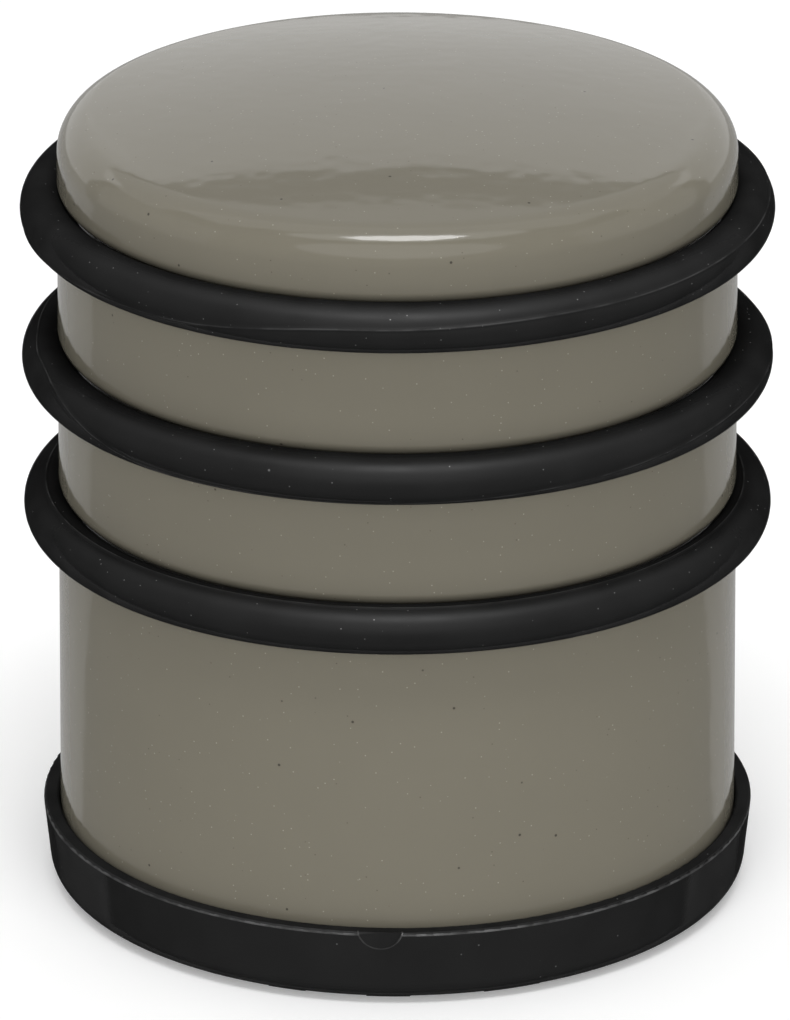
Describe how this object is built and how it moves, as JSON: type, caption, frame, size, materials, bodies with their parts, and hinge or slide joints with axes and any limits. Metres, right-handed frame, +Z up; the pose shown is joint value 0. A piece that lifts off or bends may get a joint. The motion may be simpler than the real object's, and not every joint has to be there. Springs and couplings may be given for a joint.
{
  "type": "floor door holder",
  "caption": "Weighted free-standing floor door holder: painted steel shell filled with ballast, rubber bumper rings in rolled seats, and a treaded rubber base cup.",
  "frame": {"origin": "on the floor under the middle of the object, in the plane of the tread ribs' faces", "axes": "+Z up along the axis of revolution; -Y towards the gate mark on the base cup's rim; +X completes a right-handed frame"},
  "size_m": [0.0878, 0.0878, 0.0974],
  "materials": {
    "shell_paint": "glossy warm grey paint",
    "cast_fill": "rough cast concrete",
    "base_rubber": "matte moulded rubber",
    "ring_rubber": "satin moulded rubber",
    "plate_steel": "zinc plated, dull",
    "washer_steel": "zinc plated",
    "screw_steel": "zinc plated",
    "plug_nylon": "natural nylon"
  },
  "bodies": {
    "root": {"outer_shell": "shell_paint", "ballast": "cast_fill", "base_cup": "base_rubber", "closing_plate": "plate_steel", "screw_washer": "washer_steel", "fixing_screw": "screw_steel", "screw_plug": "plug_nylon", "ring_upper": "ring_rubber", "ring_middle": "ring_rubber", "ring_lower": "ring_rubber"}
  },
  "joints": []
}
